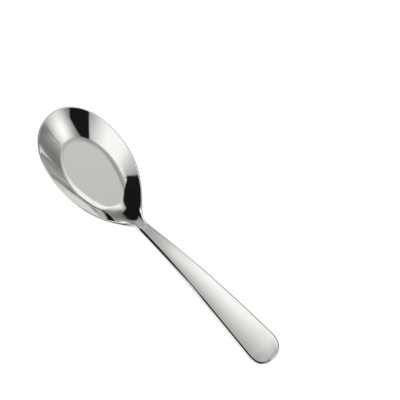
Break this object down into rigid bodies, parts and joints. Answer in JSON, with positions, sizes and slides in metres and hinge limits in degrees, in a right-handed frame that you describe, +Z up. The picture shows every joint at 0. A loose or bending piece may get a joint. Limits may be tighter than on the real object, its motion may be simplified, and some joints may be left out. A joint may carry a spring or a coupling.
{
  "type": "flat-bottom spoon",
  "caption": "Flat-bottom table spoon of mirror-polished stainless steel: egg-shaped bowl with a flat oval floor and flared walls, narrow neck and a raised handle that widens to a rounded end.",
  "frame": {"origin": "Centre of the flat base, on its underside, where the spoon stands on the table.", "axes": "+Z up out of the bowl, +X along the spoon from the bowl to the end of the handle, +Y across it to the left as seen from the bowl."},
  "size_m": [0.17, 0.0444, 0.0253],
  "materials": {
    "steel": "polished"
  },
  "bodies": {
    "root": {"bowl": "steel", "handle": "steel"}
  },
  "joints": []
}
